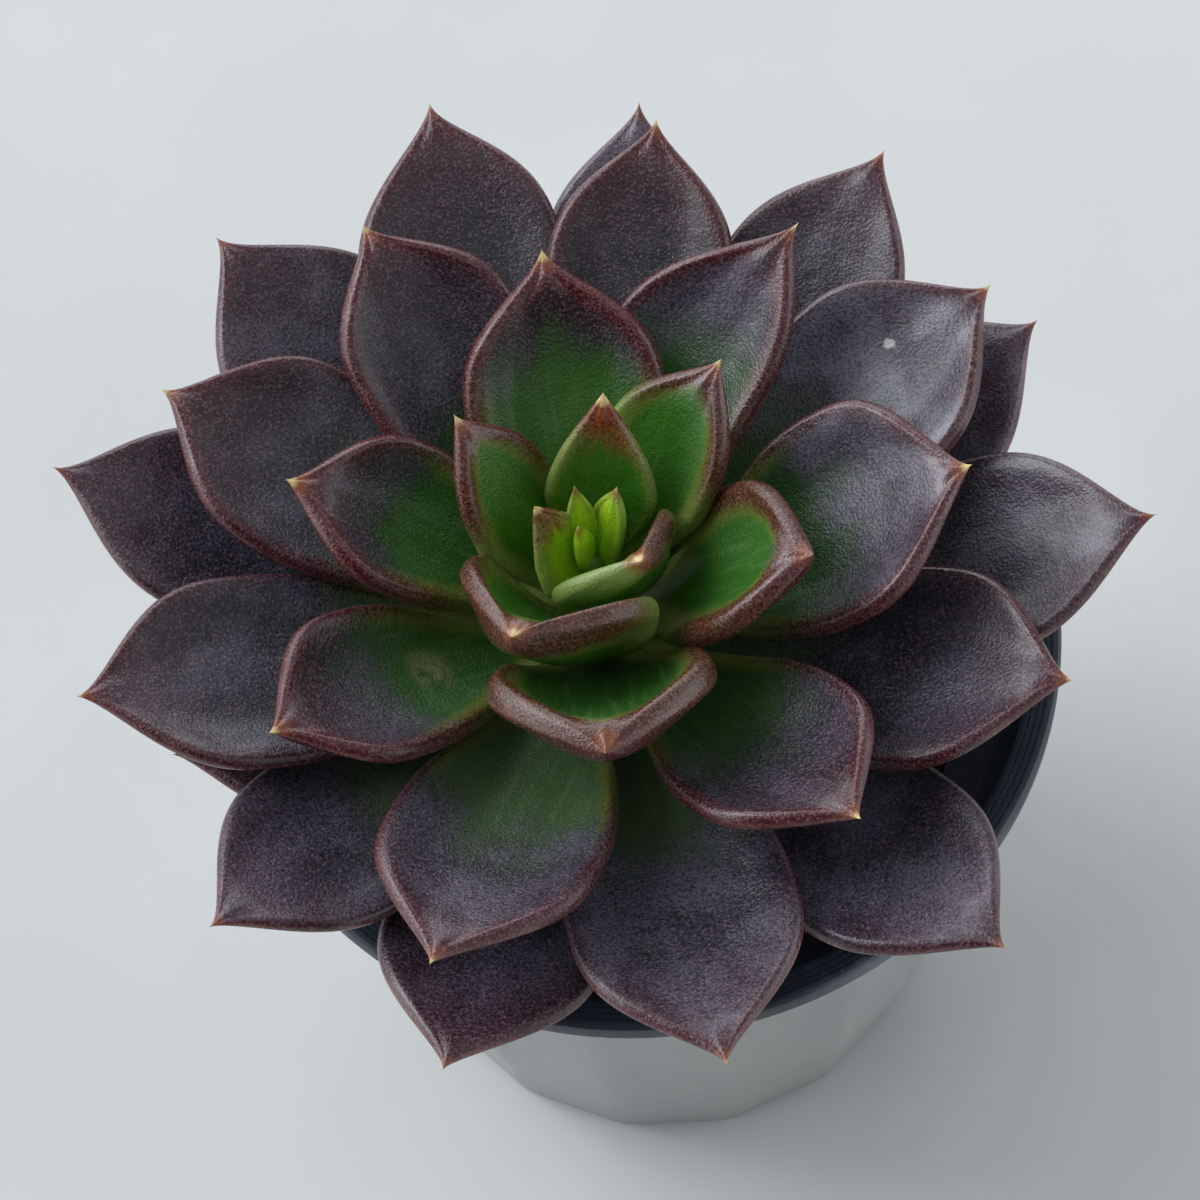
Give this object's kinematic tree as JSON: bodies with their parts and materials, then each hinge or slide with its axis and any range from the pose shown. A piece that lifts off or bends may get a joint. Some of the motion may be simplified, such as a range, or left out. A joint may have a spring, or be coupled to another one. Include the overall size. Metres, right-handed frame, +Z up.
{
  "type": "potted echeveria",
  "caption": "Rosette of thick pointed succulent leaves, dark purple outside and green at the heart, in a round black nursery pot that hangs in a pale faceted pot.",
  "frame": {"origin": "centre of the faceted pot's foot, on the surface it stands on", "axes": "+Z up; -Y is the side turned to the viewer in the picture and +X the viewer's right"},
  "size_m": [0.125, 0.1242, 0.1142],
  "materials": {
    "old_leaf": "waxy dark purple with a pale reddish edge",
    "young_leaf": "waxy green with a reddish brown edge and a yellow tip",
    "heart_leaf": "waxy bright green",
    "stem_bark": "matte",
    "potting_soil": "loose dark potting mix",
    "black_plastic": "satin black with fine rings on the flange",
    "grey_glaze": "satin pale grey"
  },
  "bodies": {
    "root": {"leaf_01": "old_leaf", "leaf_02": "old_leaf", "leaf_03": "old_leaf", "leaf_04": "old_leaf", "leaf_05": "old_leaf", "leaf_06": "old_leaf", "leaf_07": "old_leaf", "leaf_08": "old_leaf", "leaf_09": "old_leaf", "leaf_10": "old_leaf", "leaf_11": "old_leaf", "leaf_12": "old_leaf", "leaf_13": "old_leaf", "leaf_14": "old_leaf", "leaf_15": "old_leaf", "leaf_16": "old_leaf", "leaf_17": "old_leaf", "leaf_18": "old_leaf", "leaf_19": "old_leaf", "leaf_20": "old_leaf", "leaf_21": "old_leaf", "leaf_22": "old_leaf", "leaf_23": "old_leaf", "leaf_24": "old_leaf", "leaf_25": "young_leaf", "leaf_26": "young_leaf", "leaf_27": "young_leaf", "leaf_28": "young_leaf", "leaf_29": "young_leaf", "leaf_30": "young_leaf", "leaf_31": "young_leaf", "leaf_32": "young_leaf", "growing_tip": "heart_leaf", "stem": "stem_bark", "soil": "potting_soil", "nursery_pot": "black_plastic", "outer_pot": "grey_glaze"}
  },
  "joints": []
}
